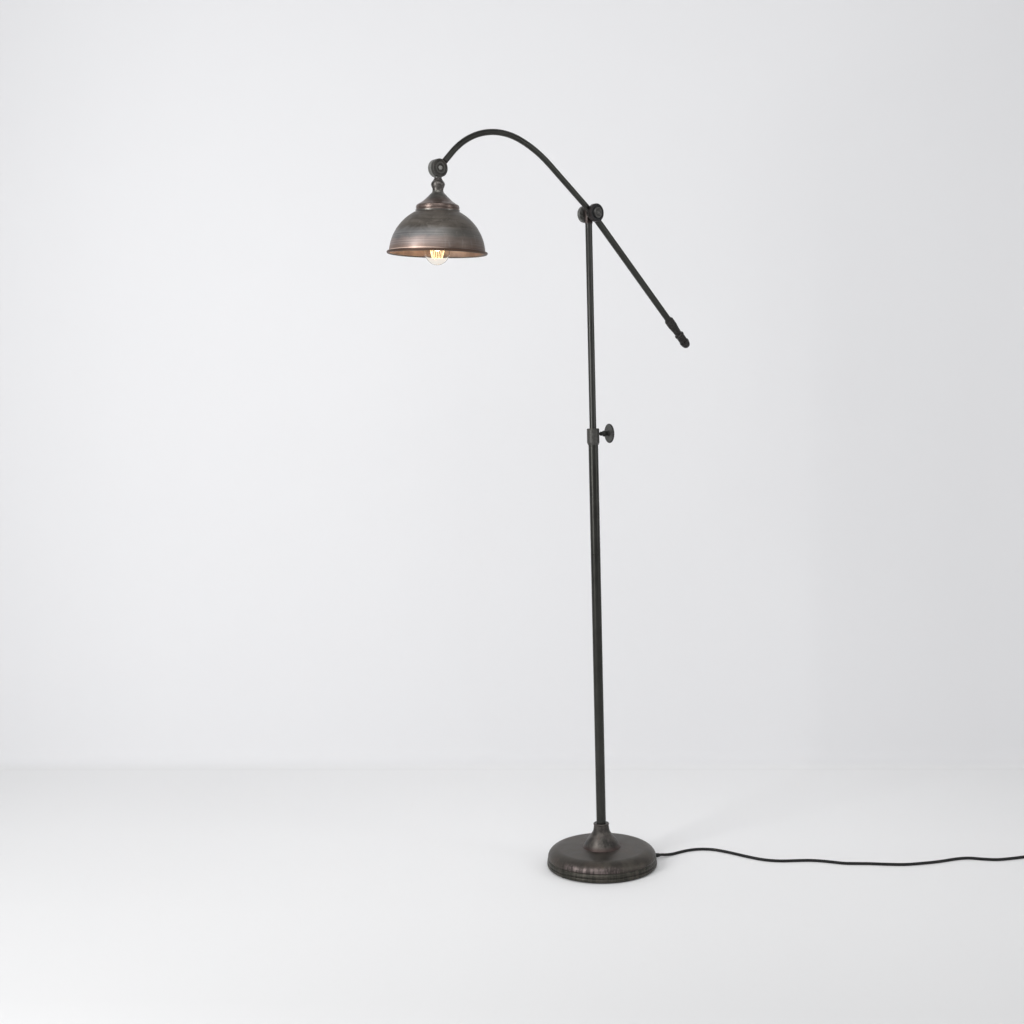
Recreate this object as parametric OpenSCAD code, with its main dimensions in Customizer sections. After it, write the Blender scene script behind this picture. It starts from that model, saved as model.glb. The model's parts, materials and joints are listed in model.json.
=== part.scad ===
// Bridge floor lamp: weighted round base, telescoping pole, bent arm on a
// clamped pivot with a straight tail, and a spun dome shade on a knuckle.
// Frame: origin at the base's bottom centre, +Z up, arm in the XZ plane with
// the shade toward -X and the tail toward +X. Sizes are millimetres.

/* [Base] */
// Outer diameter of the base
base_d = 254; // [244:1:280]
// Height of the domed cover's crown
base_h = 46; // [45:0.5:52]
// Height of the rolled band round the foot
band_h = 20; // [18:0.5:21]
// Width of the rounded shoulder between the band and the crown
shoulder_w = 28; // [20:1:40]
// Sheet thickness of the cover
cover_wall = 2; // [1.2:0.1:2.6]
// Height of the bell-shaped foot of the pole
bell_h = 51; // [46:1:70]
// Radius of the bell where it stands on the crown
bell_foot_r = 44.5; // [40:0.5:60]
// Radius of the bell at its neck
bell_neck_r = 17; // [15:0.5:20]
// Height of the ring on top of the bell
ring_h = 4; // [3:0.5:8]
// Thickness of the felt pad
felt_t = 2; // [1:0.5:3]
// Space between the cover's sheet and the cast weight with its felt pad
weight_gap = 7; // [6:0.5:20]
// Thickness of the cast weight's plate
weight_t = 18; // [14:1:22]

/* [Pole] */
// Diameter of the lower tube
lower_d = 22; // [19:0.1:24]
// Diameter of the upper tube
upper_d = 15.4; // [12.5:0.1:15.6]
// Wall of both pole tubes
pole_wall = 1.2; // [0.8:0.1:1.5]
// Height of the clutch collar's lower edge
collar_z = 975; // [900:5:1100]
// Height of the clutch collar
collar_h = 37; // [34:1:50]
// Diameter of the clutch collar
collar_d = 28; // [27:0.5:34]
// Length of upper tube below the collar's top
tube_overlap = 425; // [260:5:500]
// Height of the arm's pivot
pivot_z = 1489; // [1450:1:1550]

/* [Pole clamp] */
// Direction of the thumb screw, from +X toward +Y
clamp_turn = -15; // [-180:5:180]
// Diameter of the thumb screw
screw_d = 6; // [5:0.5:7]
// Diameter of the thumb screw's disc
clamp_disc_d = 44; // [30:1:50]
// Distance of the disc's middle from the pole's axis
clamp_reach = 41.5; // [40:0.5:50]

/* [Pivot] */
// Diameter of the post's barrel
post_d = 18; // [16.5:0.5:20]
// Length of the post's barrel
post_h = 35; // [32:1:44]
// Diameter of the disc behind the post
rear_disc_d = 37; // [34:1:38]
// Thickness of the disc behind the post
rear_disc_t = 7.5; // [5:0.5:9]
// Diameter of the front knob's disc
front_disc_d = 40; // [34:1:40]
// Distance of the arm's plane in front of the pole's axis
arm_offset = 12; // [12:0.5:16]
// Thickness of the hub that carries arm and tail
hub_t = 14; // [13:0.5:14]
// Diameter of the hub
hub_d = 24; // [23:0.5:26]
// Thickness of the front knob's disc
front_disc_t = 10; // [8:0.5:14]

/* [Arm] */
// Diameter of the arm's tube
arm_d = 12.8; // [11.6:0.1:13]
// Wall of the arm's tube
arm_wall = 1; // [0.8:0.1:1.2]
// Rise of the arm where it leaves the pivot
arm_rise = 38.3; // [25:0.1:45]
// Length of the arm's first straight run, from the pivot
arm_run = 157; // [120:0.5:200]
// Radius of the arm's slow bend
slow_bend_r = 287; // [250:1:400]
// Angle of the slow bend
slow_bend = 18.6; // [10:0.1:25]
// Radius of the arm's round bend
round_bend_r = 174.4; // [150:0.2:220]
// Angle of the round bend
round_bend = 64.6; // [55:0.1:75]
// Straight run from the round bend to the shade's hinge
end_run = 48; // [40:0.5:80]

/* [Tail] */
// Diameter of the tail's tube
tail_d = 14.8; // [13.6:0.1:15]
// Fall of the tail from the pivot
tail_fall = 44.6; // [35:0.2:55]
// Distance from the pivot to the tail tube's end
tail_run = 340; // [200:5:400]
// Diameter of the turned ferrule at the end of the tail
ferrule_d = 21.2; // [18:0.2:24]
// Diameter of the end knob
tail_knob_d = 19.6; // [16:0.2:22]
// Length of the end knob
tail_knob_l = 43; // [36:1:55]

/* [Shade] */
// Diameter of the two knuckle discs
knuckle_d = 37; // [34:0.5:40]
// Thickness of the knuckle disc on the arm
knuckle_front_t = 8.4; // [8:0.2:9]
// Thickness of the knuckle disc on the shade
knuckle_back_t = 11.6; // [9:0.2:14]
// Tilt of the shade at rest, lower end away from the pole
head_tilt = 1.5; // [0:0.5:10]
// Lean of the shade at rest, lower end away from the front knob
head_lean = 2; // [0:0.5:3]
// Distance from the hinge to the turned coupling
urn_top = 20.4; // [20:0.2:24]
// Length of the turned coupling
urn_l = 24.2; // [20:0.2:32]
// Height of the flared cap's slope
cap_l = 31; // [26:0.5:40]
// Height of the band round the cap's foot
cap_band = 11.4; // [8:0.2:16]
// Radius of the cap at its foot
cap_r = 44.6; // [38:0.2:52]
// Outer radius of the dome
dome_r = 98.5; // [90:0.5:110]
// Height of the dome from its widest ring to the top of its curve
dome_h = 97; // [88:0.5:110]
// Sheet thickness of the shade
shade_wall = 1; // [0.8:0.1:1.4]
// Radius of the rolled rim's bead
rim_bead = 3; // [2:0.25:4]
// Diameter of the bulb's glass
bulb_d = 50; // [46:1:64]
// Length of the bulb from its contact to its tip
bulb_l = 103; // [95:1:115]

/* [Cord] */
// Diameter of the cord
cord_d = 6.6; // [6:0.1:6.6]
// Turns in the coil, both layers together
coil_turns = 6; // [4:2:8]
// Space between neighbouring loops
coil_space = 0.7; // [0.6:0.1:1.4]

/* [Hidden] */
// Running clearance of bores, and the gap between faces that slide
fit = 0.05;
// Facets of turned pieces and of tubes
fn_turn = 96;
fn_tube = 64;
fn_small = 48;

// Base
base_r = base_d / 2;
weight_r = base_r - cover_wall - weight_gap;
lift = felt_t - 0.5;
roll = 4.5;
band_mid = band_h / 2;
bell_z = base_h;
bell_top = bell_z + bell_h;
ring_top = bell_top + ring_h;
seat_depth = 7;
seat_z = bell_top - seat_depth;
boss_r = 34;
recess_r = 25;
recess_h = 25;
nipple_r = 6.5;
nipple_bore = 4.2;
nipple_z = 18.5;
washer_t = 2;
nut_t = 6;
nut_af = 19;
weight_top = felt_t + weight_t;
boss_top = base_h - cover_wall;
washer_z = felt_t + recess_h - washer_t;
insert_l = 25;

// Cord and gland
cord_r = cord_d / 2;
cord_turn = -40;
gland_turn = 15;
gland_z = 9;
gland_hole = 5.25;
gland_flange = 6.4;
gland_head = 5.8;
gland_out = 14;
gland_end = base_r + gland_out;
lead_bend = nipple_z - 0.5 - gland_z;
lead_top = 150;
slot_w = 9;

// Pole
lower_r = lower_d / 2;
lower_in = lower_r - pole_wall;
upper_r = upper_d / 2;
upper_in = upper_r - pole_wall;
collar_r = collar_d / 2;
collar_top = collar_z + collar_h;
collar_seat = collar_z + 12.5;
clamp_z = collar_z + 24.5;
mast_z = collar_top - tube_overlap;
bush_l = 40;
bush_z = mast_z + 12;
clip_t = 5;
post_r = post_d / 2;
post_z = pivot_z - 21.4;
spigot_l = 28;
mast_lead_r = 2.6;

// Pivot
arm_y = -arm_offset;
post_front = -4;
post_back = 8;
washer_gap = 1;
hub_back = arm_y + hub_t / 2;
hub_front = arm_y - hub_t / 2;
shank_r = 5;
shank_in = 3;
rear_disc_y = post_back + 1.5;
pivot_nut_t = 5.5;
shank_end = rear_disc_y + rear_disc_t + pivot_nut_t + fit;
front_disc_r = front_disc_d / 2;
knob_y = hub_front - fit;
knob_front = knob_y - front_disc_t;
knob_boss_r = 12;
knob_boss = 3;
stub_r = 3;

// Arm: an angle in its plane runs from +X toward +Z
arm_r = arm_d / 2;
arm_in = arm_r - arm_wall;
arm_turn = arm_rise - 90;
arm_start = 14;
arm_socket = 30;
mid_rise = arm_rise - slow_bend;
end_rise = mid_rise - round_bend;
bend_1 = arm_run * [-cos(arm_rise), sin(arm_rise)];
centre_1 = bend_1 - slow_bend_r * [sin(arm_rise), cos(arm_rise)];
bend_2 = centre_1 + slow_bend_r * [sin(mid_rise), cos(mid_rise)];
centre_2 = bend_2 - round_bend_r * [sin(mid_rise), cos(mid_rise)];
bend_3 = centre_2 + round_bend_r * [sin(end_rise), cos(end_rise)];
hinge = bend_3 + end_run * [-cos(end_rise), sin(end_rise)];
hinge_x = hinge[0];
hinge_z = pivot_z + hinge[1];
back_turn = 90 + end_rise;
slow_steps = 6;
round_steps = 24;
arm_lead_r = 2.2;

// Tail
tail_r = tail_d / 2;
tail_wall = 1;
tail_turn = 90 + tail_fall;
tail_start = front_disc_r + 0.6;
tail_socket = tail_start + 14;
ferrule_grip = 11;
ferrule_l = 49;
ferrule_s = tail_run - ferrule_grip;
ferrule_end = ferrule_s + ferrule_l;
ferrule_r = ferrule_d / 2;
switch_s = tail_run + 3;
spindle_r = 2;
tail_knob_s = ferrule_end + 0.3;
tail_knob_r = tail_knob_d / 2;

// Knuckle and shade: d is the distance below the hinge along the shade's axis
knuckle_r = knuckle_d / 2;
hinge_y = arm_y + knuckle_front_t - 5;
head_turn = 180 + head_tilt;
knuckle_gap = 0.05;
knuckle_clear = 0.3;
knuckle_neck_r = hinge_y - arm_y - 0.15;
stem_r = 7.6;
thread_r = 5;
thread_bore = 3;
screw_r = 2.5;
rod_end = knuckle_r + 2.5;
urn_end = urn_top + urn_l;
stem_thread = 16;
cap_top = urn_end;
cap_shoulder = cap_top + cap_l;
cap_foot = cap_shoulder + cap_band;
dome_d = cap_foot + dome_h * sqrt(1 - pow(cap_r / dome_r, 2));
rim_up = 3.8;
rim_out = 1.5;
rim_d = dome_d - rim_up;
rim_r = dome_r + rim_out;
spacer_r = 8;
cap_sheet = 1.6;
function dome_at(r, i = 0) = dome_d - (dome_h - i) * sqrt(1 - pow(r / (dome_r - i), 2));
dome_top = dome_at(thread_r);
lock_t = 3.7;
lock_af = 16;
lock_r = lock_af / sqrt(3);
lock_d = dome_at(lock_r, shade_wall);
holder_d = lock_d + lock_t;
holder_r = 18.5;
holder_wall = 1.5;
holder_l = 32;
nipple_end = holder_d + 3.5;
insulator_d = nipple_end + 1;
insulator_t = 3.5;
contact_d = insulator_d + insulator_t;
bulb_start = contact_d + 2;
bulb_r = bulb_d / 2;
bulb_cap_r = 13.2;
bulb_cap_l = 25;
glass_wall = 0.8;
glass_start = bulb_start + bulb_cap_l;
bulb_tip = bulb_start + bulb_l;

// Coil and plug, in the cord's frame: the coil lies where the cord leaves view
cord_z = cord_r + 0.1;
coil_pitch = cord_d + coil_space;
layer_step = cord_d + 0.6;
coil_r = 50;
coil_x = 1060;
coil_y = -58;
coil_rings = 24;
coil_exit = 34;
plug_z = cord_z + layer_step;
plug_x = coil_x + coil_exit;
plug_y = coil_y + coil_r;
relief_l = 18;
plug_l = 30;
plug_w = 26;
blade_gap = 12.7;
blade_w = 6.3;
blade_t = 1.5;
blade_l = 16;
blade_in = 8;

// Points that the cord lies along on the floor, from the gland to the coil
cord_points = [
    [153, 45, 6.4], [171, 58, 3.6], [190, 71, 3.4], [211, 82, 3.4], [230, 87, 3.4],
    [251, 87, 3.4], [275, 79, 3.4], [306, 57, 3.4], [342, 26, 3.4], [377, 2, 3.4],
    [413, -8, 3.4], [449, -8, 3.4], [483, -9, 3.4], [515, -18, 3.4], [551, -33, 3.4],
    [580, -37, 3.4], [610, -40, 3.4], [643, -46, 3.4], [686, -51, 3.4], [727, -46, 3.4],
    [768, -37, 3.4], [812, -22, 3.4], [842, -18, 3.4], [872, -27, 3.4], [904, -33, 3.4],
    [939, -27, 3.4], [969, -19, 3.4], [1000, -11, 3.4], [1028, -8, 3.4]
];

// ---- Curves ----

function spline_point(p, i, t) =
    let (n = len(p) - 1, a = p[max(i - 1, 0)], b = p[i], c = p[i + 1], d = p[min(i + 2, n)])
    0.5 * (2 * b + (c - a) * t + (2 * a - 5 * b + 4 * c - d) * t * t
        + (3 * b - a - 3 * c + d) * t * t * t);

// Smooth curve through the points p, with n steps between each two
function smooth(p, n = 3) = concat(
    [for (i = [0:len(p) - 2]) for (k = [0:n - 1]) spline_point(p, i, k / n)],
    [p[len(p) - 1]]);

function reversed(p) = [for (i = [len(p) - 1:-1:0]) p[i]];

// Arc of an ellipse about c, from angle a to angle b
function arc(c, rx, ry, a, b, n = 8) =
    [for (k = [0:n]) let (t = a + (b - a) * k / n) [c[0] + rx * cos(t), c[1] + ry * sin(t)]];

// ---- Placing ----

module turned(p) {
    rotate_extrude($fn = fn_turn) polygon(p);
}

// Turned piece whose axis is the pivots' own, +Y
module turned_y(p) {
    rotate([-90, 0, 0]) turned(p);
}

module rod(r, z0, z1) {
    translate([0, 0, z0]) cylinder(r = r, h = z1 - z0, $fn = fn_tube);
}

module rod_y(r, y0, y1) {
    rotate([-90, 0, 0]) rod(r, y0, y1);
}

module pipe(r_out, r_in, z0, z1) {
    translate([0, 0, z0]) linear_extrude(z1 - z0) difference() {
        circle(r_out, $fn = fn_tube);
        circle(r_in, $fn = fn_tube);
    }
}

module hex(af, z0, z1) {
    translate([0, 0, z0]) cylinder(r = af / sqrt(3), h = z1 - z0, $fn = 6);
}

// Thumb screw's frame: +Z runs outward along the screw
module clamp_frame() {
    translate([0, 0, clamp_z]) rotate([0, 0, clamp_turn]) rotate([0, 90, 0]) children();
}

module pivot_frame() {
    translate([0, 0, pivot_z]) children();
}

// Frame on the hub's centre, +Z outward along the arm or the tail
module hub_frame(turn) {
    translate([0, arm_y, pivot_z]) rotate([0, turn, 0]) children();
}

module hinge_frame() {
    translate([hinge_x, hinge_y, hinge_z]) children();
}

// Shade's frame: +Z runs down the shade's axis
module head_frame() {
    hinge_frame() rotate([head_lean, 0, 0]) rotate([0, head_turn, 0]) children();
}

module cord_frame() {
    rotate([0, 0, cord_turn]) children();
}

module gland_frame() {
    cord_frame() translate([0, 0, gland_z]) rotate([0, 0, gland_turn]) rotate([0, 90, 0]) children();
}

// ---- Swept tubes ----

function unit(v) = v / norm(v);

function ring_at(c, t, r, n) =
    let (s = unit(cross(t, [0, 0, 1])), u = cross(s, t))
    [for (k = [0:n - 1]) c + r * (cos(360 * k / n) * s + sin(360 * k / n) * u)];

function tangent(p, i) = unit(p[min(i + 1, len(p) - 1)] - p[max(i - 1, 0)]);

// Triangles between ring i and the next, of n points each, from point number first on
function band(first, n, i) = [for (k = [0:n - 1])
    let (a = first + i * n + k, b = first + i * n + (k + 1) % n) each [[a, a + n, b], [b, a + n, b + n]]];

function flipped(faces) = [for (f = faces) [f[0], f[2], f[1]]];

// Closed solid through rings of points
module skin(rings) {
    n = len(rings[0]);
    last = len(rings) - 1;
    sides = [for (i = [0:last - 1]) each band(0, n, i)];
    start = [for (k = [1:n - 2]) [0, k, k + 1]];
    end = [for (k = [1:n - 2]) [last * n, last * n + k + 1, last * n + k]];
    polyhedron([for (r = rings) each r], concat(sides, start, end), convexity = 10);
}

// Pipe between two skins of equal rings, open at both ends
module pipe_skin(outer, inner) {
    n = len(outer[0]);
    last = len(outer) - 1;
    m = n * len(outer);
    walls = [for (i = [0:last - 1]) each concat(band(0, n, i), flipped(band(m, n, i)))];
    start = [for (k = [0:n - 1]) let (j = (k + 1) % n) each [[k, j, m + j], [k, m + j, m + k]]];
    end = [for (k = [0:n - 1]) let (e = last * n, j = (k + 1) % n)
        each [[e + k, e + m + j, e + j], [e + k, e + m + k, e + m + j]]];
    polyhedron([for (r = concat(outer, inner)) each r], concat(walls, start, end), convexity = 10);
}

module swept_tube(path, r, n) {
    skin([for (i = [0:len(path) - 1]) ring_at(path[i], tangent(path, i), r, n)]);
}

// ---- Base ----

module felt_pad() {
    color("darkgreen") rod(weight_r, 0, felt_t);
}

module cable_slot() {
    cord_frame() rotate([0, 0, gland_turn])
        translate([0, -slot_w / 2, felt_t - 1]) cube([base_r, slot_w, gland_z + slot_w / 2 - felt_t + 1]);
}

module base_weight() {
    color("dimgray") difference() {
        turned([[recess_r, felt_t], [weight_r, felt_t], [weight_r, weight_top], [boss_r, weight_top],
            [boss_r, boss_top], [nipple_r + fit, boss_top], [nipple_r + fit, felt_t + recess_h],
            [recess_r, felt_t + recess_h]]);
        cable_slot();
    }
}

// Line of the cover's sheet, at inset i from the outside
function cover_line(i) = concat(
    [[base_r - 4 - i, lift], [base_r - 1 - i, lift + 1.5], [base_r - i, lift + roll],
        [base_r - i, band_mid - 1], [base_r - 0.6 - i, band_mid + 0.2], [base_r - 1.8 - i, band_mid + 0.8],
        [base_r - 1.8 - i, band_mid + 1.8], [base_r - 0.8 - i, band_mid + 2.8], [base_r - 0.8 - i, band_h - 4.5],
        [base_r - 1.4 - i, band_h - 2.5], [base_r - 3.2 - i, band_h], [base_r - 3.2 - i, band_h + 1.5]],
    arc([base_r - 2 - shoulder_w, band_h + 2], shoulder_w - i, base_h - 1.5 - band_h - 2 - i, 3, 90, 14),
    [[base_r / 2 + 6, base_h - 0.5 - i], [bell_foot_r, base_h - i], [nipple_r + fit, base_h - i]]);

module base_cover() {
    color([0.2, 0.19, 0.17]) difference() {
        turned(concat(cover_line(0), reversed(cover_line(cover_wall))));
        gland_frame() rod(gland_hole, base_r - 10, base_r + 1);
    }
}

module base_bell() {
    neck = bell_neck_r;
    foot = bell_foot_r;
    z = bell_z;
    outside = smooth([[foot, z], [foot - 5.5, z + 8], [foot - 11.5, z + 17.5], [neck + 9, z + 27],
        [neck + 2.5, z + 36], [neck + 0.7, z + bell_h - 5], [neck, bell_top]]);
    inside = smooth([[neck - 5, z + 36], [neck + 5, z + 25], [foot - 15.5, z + 15.5], [foot - 9, z + 6.5],
        [foot - 3.5, z]]);
    color([0.23, 0.21, 0.18]) turned(concat(outside, [[lower_r + fit, bell_top], [lower_r + fit, seat_z],
        [nipple_r + fit, seat_z], [nipple_r + fit, z + 36]], inside));
}

module bell_ring() {
    r = bell_neck_r;
    color([0.25, 0.23, 0.19]) turned([[lower_r + fit, bell_top], [r, bell_top], [r + 1, bell_top + 1],
        [r + 1, ring_top - 1], [r + 0.2, ring_top], [lower_r + fit, ring_top]]);
}

module base_nipple() {
    color("goldenrod") pipe(nipple_r, nipple_bore, nipple_z, seat_z + insert_l);
}

module base_washer() {
    color("silver") pipe(recess_r - 4, nipple_r + fit, washer_z, washer_z + washer_t);
}

module base_nut() {
    color("silver") difference() {
        hex(nut_af, washer_z - nut_t, washer_z);
        rod(nipple_r + fit, 0, washer_z + 1);
    }
}

module cord_gland() {
    flange = base_r - cover_wall - 2.4;
    head = base_r + 0.15;
    color([0.08, 0.08, 0.08]) gland_frame() turned([[cord_r + fit, flange - 4], [gland_flange - 1, flange - 4],
        [gland_flange, flange - 2], [gland_flange, flange], [gland_hole - fit, flange],
        [gland_hole - fit, head], [gland_head, head], [gland_head, head + 2],
        [cord_r + 1.6, gland_end - 6], [cord_r + 0.8, gland_end], [cord_r + fit, gland_end]]);
}

// Cord inside the base: in through the gland, under the nut and up the pole
module base_lead() {
    color([0.06, 0.06, 0.06]) cord_frame() rotate([0, 0, gland_turn]) union() {
        translate([0, 0, gland_z]) rotate([0, 90, 0]) rod(cord_r, lead_bend, gland_end);
        translate([lead_bend, 0, gland_z + lead_bend]) rotate([90, 0, 0])
            rotate_extrude(angle = 90, start = 180, $fn = fn_turn)
            translate([lead_bend, 0]) circle(cord_r, $fn = fn_tube);
        rod(cord_r, gland_z + lead_bend, lead_top);
    }
}

module tube_insert() {
    color("goldenrod") pipe(lower_in - fit, nipple_r + fit, seat_z, seat_z + insert_l);
}

// ---- Pole ----

module lower_tube() {
    color([0.22, 0.22, 0.19]) pipe(lower_r, lower_in, seat_z, collar_seat);
}

module clutch_collar() {
    r = collar_r;
    color([0.27, 0.25, 0.21]) difference() {
        turned([[lower_r + fit, collar_z], [lower_r + 0.9, collar_z], [r, collar_z + 5], [r, collar_top - 1.2],
            [r - 1.2, collar_top], [upper_r + fit, collar_top], [upper_r + fit, collar_seat],
            [lower_r + fit, collar_seat]]);
        clamp_frame() rod(screw_d / 2 + fit, 0, collar_r + 2);
    }
}

module clamp_shoe() {
    color("goldenrod") clamp_frame() rod(screw_d / 2 - fit, upper_r + 0.1, upper_r + 2.1);
}

module clamp_screw() {
    tip = upper_r + 2.15;
    r = screw_d / 2;
    color([0.45, 0.43, 0.4]) clamp_frame() turned([[0, tip], [r - 0.8, tip], [r, tip + 0.8],
        [r, clamp_reach - 1.5], [0, clamp_reach - 1.5]]);
}

// Turned grip of the thumb screw: two beads, a cone and a round disc
module clamp_knob() {
    r = clamp_disc_d / 2;
    b = screw_d / 2 + 0.9;
    n = clamp_reach;
    color([0.3, 0.29, 0.26]) clamp_frame() turned(concat(
        [[screw_d / 2 + fit, n - 23], [b, n - 23], [b + 0.9, n - 22.2], [b + 0.9, n - 20.4], [b + 0.2, n - 19.6],
            [b + 1.4, n - 17.6], [b + 2.5, n - 15.6], [b + 3.1, n - 13.6], [b + 2.7, n - 11.8], [b + 1.5, n - 10],
            [b + 0.9, n - 7.8], [b + 1.2, n - 5], [b + 2.2, n - 2.6], [b + 3.8, n - 1.8], [r - 1.8, n - 1.8]],
        arc([r - 1.8, n], 1.8, 1.8, -90, 90, 8),
        [[r - 5, n + 1.8], [r - 6, n + 1.2], [7, n + 1.2], [5, n + 2.4], [0, n + 2.8], [0, n - 1.5],
            [screw_d / 2 + fit, n - 1.5]]));
}

module guide_bush() {
    color("goldenrod") pipe(lower_in - fit, upper_r + fit, bush_z, bush_z + bush_l);
}

// Spring clips that hold the bush on the upper tube
module bush_clips() {
    color("silver") {
        pipe(upper_r + 1, upper_r + 0.01, bush_z - fit - clip_t, bush_z - fit);
        pipe(upper_r + 1, upper_r + 0.01, bush_z + bush_l + fit, bush_z + bush_l + fit + clip_t);
    }
}

module upper_tube() {
    color([0.22, 0.22, 0.19]) pipe(upper_r, upper_in, mast_z, post_z);
}

module mast_lead() {
    color([0.06, 0.06, 0.06]) rod(mast_lead_r, mast_z - 10, pivot_z - shank_r - 3);
}

// ---- Pivot ----

module pivot_post() {
    r = post_r;
    top = post_z + post_h;
    color([0.4, 0.24, 0.18]) difference() {
        turned([[mast_lead_r + 0.6, post_z - spigot_l], [upper_in - fit, post_z - spigot_l],
            [upper_in - fit, post_z], [r - 0.8, post_z], [r, post_z + 0.8], [r, top - 1.6],
            [r - 1.6, top], [0, top], [0, pivot_z], [mast_lead_r + 0.6, pivot_z]]);
        translate([-r - 1, -r - 5, post_z]) cube([2 * r + 2, r + 5 + post_front, post_h + 1]);
        translate([-r - 1, post_back, post_z + 3]) cube([2 * r + 2, r, post_h]);
        pivot_frame() rod_y(shank_r + fit, -r - 1, r + 1);
    }
}

module rear_washer() {
    color([0.35, 0.2, 0.12]) pivot_frame() rotate([-90, 0, 0])
        pipe(post_r - 0.5, shank_r + fit, post_back, rear_disc_y);
}

module rear_disc() {
    r = rear_disc_d / 2;
    a = rear_disc_y;
    b = rear_disc_y + rear_disc_t;
    e = 0.9;
    color([0.42, 0.4, 0.37]) pivot_frame() turned_y(concat([[shank_r + fit, a]],
        arc([r - e, a + e], e, e, -90, 0, 4), arc([r - e, b - e], e, e, 0, 90, 4),
        [[r - 4, b], [r - 4.6, b - 0.7], [r - 5.2, b], [11, b], [10.4, b - 0.7], [9.8, b], [shank_r + fit, b]]));
}

module front_washer() {
    color([0.35, 0.2, 0.12]) pivot_frame() rotate([-90, 0, 0])
        pipe(post_r - 0.5, shank_r + fit, hub_back + fit, post_front);
}

// Hub with a hollow shank through the post, a stub for the front knob, and a
// spigot for each of the arm and the tail
module pivot_hub() {
    color([0.28, 0.26, 0.22]) difference() {
        union() {
            pivot_frame() turned_y([[0, hub_front - front_disc_t + 2], [stub_r, hub_front - front_disc_t + 2],
                [stub_r, hub_front], [hub_d / 2 - 1, hub_front], [hub_d / 2, hub_front + 1],
                [hub_d / 2, hub_back - 1], [hub_d / 2 - 1, hub_back], [shank_r, hub_back],
                [shank_r, shank_end], [0, shank_end]]);
            hub_frame(arm_turn) {
                rod(arm_r - 0.2, hub_d / 4, arm_start);
                rod(arm_in - 2 * fit, arm_start - 1, arm_socket);
            }
            hub_frame(tail_turn) {
                rod(tail_r - 0.5, hub_d / 4, tail_start);
                rod(tail_r - tail_wall - fit, tail_start - 1, tail_socket);
            }
        }
        pivot_frame() rod_y(shank_in, arm_y - 3, post_back);
        pivot_frame() translate([-shank_in + 0.2, post_front + 1, -shank_r - 1])
            cube([2 * shank_in - 0.4, post_back - post_front - 3, shank_r + 1]);
        hub_frame(arm_turn) rod(arm_lead_r + 0.5, 0, arm_socket + 1);
    }
}

module pivot_nut() {
    a = rear_disc_y + rear_disc_t + fit;
    color([0.5, 0.48, 0.45]) pivot_frame() rotate([-90, 0, 0]) difference() {
        hex(15, a, a + pivot_nut_t);
        rod(shank_r + 0.01, a - 1, a + pivot_nut_t + 1);
    }
}

// Front clamp knob: a disc with rounded edge, two turned rings and a dimpled boss
module pivot_knob() {
    r = front_disc_r;
    b = knob_boss_r;
    f = knob_front;
    color([0.3, 0.28, 0.25]) pivot_frame() turned_y(concat([[stub_r + fit, knob_y]],
        arc([r - 1.5, knob_y - 1.5], 1.5, 1.5, 90, 0, 5), arc([r - 1.5, f + 1.5], 1.5, 1.5, 0, -90, 6),
        [[b + 3, f], [b + 2.2, f + 1], [b + 0.8, f + 1], [b, f - knob_boss + 1], [b - 1, f - knob_boss],
            [b - 3, f - knob_boss], [b - 3.8, f - knob_boss + 1], [b - 5, f - knob_boss + 1],
            [b - 5.8, f - knob_boss], [3.4, f - knob_boss], [2.4, f - knob_boss + 1.2],
            [0, f - knob_boss + 1.6], [0, f + 1.5], [stub_r + fit, f + 1.5]]));
}

// ---- Arm and tail ----

// Stations along the arm's axis, each a point in its plane and the rise there;
// s0 is the start's distance from the pivot and s1 the end's from the hinge
function arm_stations(s0, s1) = concat(
    [[s0 * [-cos(arm_rise), sin(arm_rise)], arm_rise]],
    [for (k = [0:slow_steps]) let (a = arm_rise - slow_bend * k / slow_steps)
        [centre_1 + slow_bend_r * [sin(a), cos(a)], a]],
    [for (k = [1:round_steps]) let (a = mid_rise - round_bend * k / round_steps)
        [centre_2 + round_bend_r * [sin(a), cos(a)], a]],
    [[hinge - s1 * [-cos(end_rise), sin(end_rise)], end_rise]]);

// Rings of radius r and n points round the arm's axis
function arm_rings(s0, s1, r, n) = [for (p = arm_stations(s0, s1))
    [for (k = [0:n - 1]) let (c = cos(360 * k / n), s = sin(360 * k / n))
        [p[0][0] + r * s * sin(p[1]), arm_y + r * c, pivot_z + p[0][1] + r * s * cos(p[1])]]];

module arm_rod() {
    color([0.24, 0.23, 0.2])
        pipe_skin(arm_rings(arm_start, rod_end, arm_r, 32), arm_rings(arm_start, rod_end, arm_in, 32));
}

module arm_lead() {
    color([0.06, 0.06, 0.06]) skin(arm_rings(4, knuckle_r - 6, arm_lead_r, 8));
}

module tail_tube() {
    color([0.26, 0.25, 0.21]) hub_frame(tail_turn) pipe(tail_r, tail_r - tail_wall, tail_start, tail_run);
}

module tail_ferrule() {
    r = tail_r;
    s = ferrule_s;
    b = ferrule_r;
    color([0.3, 0.27, 0.21]) hub_frame(tail_turn) turned([[r + fit, s], [r + 0.6, s], [b - 0.6, s + 4],
        [b, s + 5], [b, s + 10.4], [b - 0.8, s + 11], [b - 0.8, s + 12], [b, s + 12.6], [b, s + 22],
        [b - 0.6, s + 26], [b - 1.6, s + 36], [r + 0.9, s + 46], [r + 0.7, ferrule_end],
        [spindle_r + fit, ferrule_end], [spindle_r + fit, ferrule_end - 4], [5.5, ferrule_end - 6],
        [5.5, tail_run + 1], [r + fit, tail_run + 1]]);
}

// Rotary switch inside the ferrule, with the spindle that the end knob turns on
module tail_switch() {
    color("ivory") hub_frame(tail_turn) turned([[0, switch_s], [5.4, switch_s], [5.4, ferrule_end - 6.4],
        [spindle_r, ferrule_end - 4.4], [spindle_r, tail_knob_s + tail_knob_l - 12],
        [0, tail_knob_s + tail_knob_l - 12]]);
}

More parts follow.
